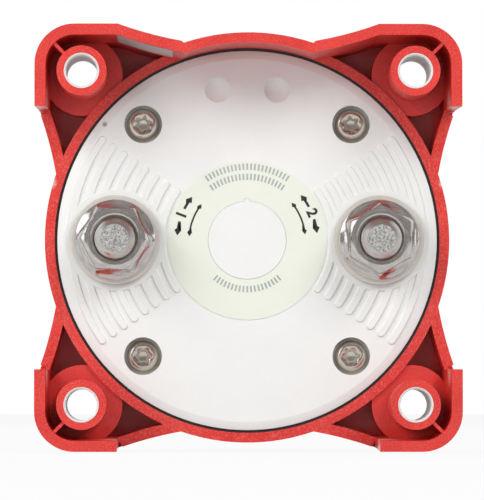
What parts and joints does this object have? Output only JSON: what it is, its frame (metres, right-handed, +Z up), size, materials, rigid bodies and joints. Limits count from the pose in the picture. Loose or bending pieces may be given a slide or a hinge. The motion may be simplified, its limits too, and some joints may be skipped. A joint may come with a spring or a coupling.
{
  "type": "battery switch",
  "caption": "Square flush-mount rotary battery switch with corner mounts, round back cover, threaded cable terminals and a turning ON-OFF knob.",
  "frame": {"origin": "centre of the four mounting holes in the plane of the mounting rim, on the knob axis", "axes": "+Y out of the mounting rim towards the bulkhead, along the knob axis away from the knob; +Z up; +X towards terminal 1"},
  "size_m": [0.1334, 0.104, 0.1334],
  "materials": {
    "red_housing_plastic": "moulded, finely textured",
    "red_knob_plastic": "moulded, satin",
    "white_cover_plastic": "moulded, finely textured",
    "black_rubber": "matt",
    "green_print": "printed film",
    "bushing_steel": "turned stainless",
    "screw_steel": "passivated stainless",
    "stud_steel": "rolled thread, stainless",
    "nut_steel": "bright stainless",
    "contact_copper": "tin-flashed copper bar",
    "contact_silver": "silver alloy",
    "carrier_plastic": "glass-filled moulding",
    "spring_steel": "spring steel",
    "shaft_steel": "stainless bar"
  },
  "bodies": {
    "switch_case": {"housing": "red_housing_plastic", "mounting_bushings": "bushing_steel", "back_cover": "white_cover_plastic", "cover_gasket": "black_rubber", "cover_screws": "screw_steel", "rating_ring": "green_print", "terminal_stud_1": "stud_steel", "terminal_stud_2": "stud_steel", "terminal_washer_1": "nut_steel", "terminal_washer_2": "nut_steel", "flange_nut_1": "nut_steel", "flange_nut_2": "nut_steel", "stud_seal_1": "black_rubber", "stud_seal_2": "black_rubber", "fixed_contact_1": "contact_copper", "fixed_contact_2": "contact_copper", "fixed_contact_tips": "contact_silver", "shaft_seal": "black_rubber", "thrust_washer": "carrier_plastic"},
    "rotor": {"knob": "red_knob_plastic", "knob_screw": "screw_steel", "knob_cap": "red_knob_plastic", "drive_shaft": "shaft_steel", "retaining_ring": "spring_steel", "contact_carrier": "carrier_plastic", "contact_bridge": "contact_copper", "bridge_contact_tips": "contact_silver", "contact_spring": "spring_steel"}
  },
  "joints": [
    {"name": "knob_turn", "type": "hinge", "parent": "switch_case", "child": "rotor", "pos_m": [0, -0.058, 0], "axis": [0, 1, 0], "range_deg": [0, 90]}
  ]
}
